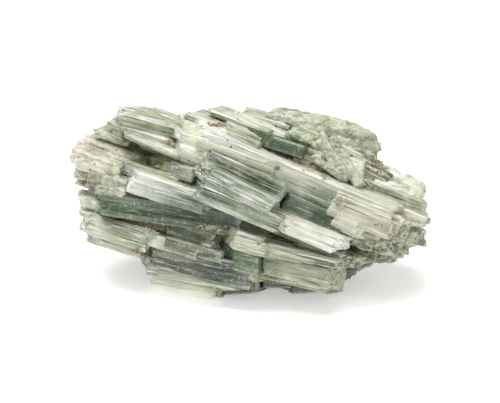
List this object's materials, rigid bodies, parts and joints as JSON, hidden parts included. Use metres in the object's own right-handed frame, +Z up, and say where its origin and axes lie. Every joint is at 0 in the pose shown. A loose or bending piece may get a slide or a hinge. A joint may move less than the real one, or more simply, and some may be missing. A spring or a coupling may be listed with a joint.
{
  "type": "tremolite specimen",
  "caption": "Broken hand specimen of tremolite: green and cream columnar crystals grown together side by side, with stepped broken ends, resting on a level underside.",
  "frame": {"origin": "on the table, under the middle of the stone's bounding box", "axes": "+X across to the right as the display side is seen, along the stone's greatest length; the display side faces -Y; +Z up"},
  "size_m": [0.0804, 0.0454, 0.0367],
  "materials": {
    "tremolite": null
  },
  "bodies": {
    "root": {"tremolite_crystals": "tremolite"}
  },
  "joints": []
}
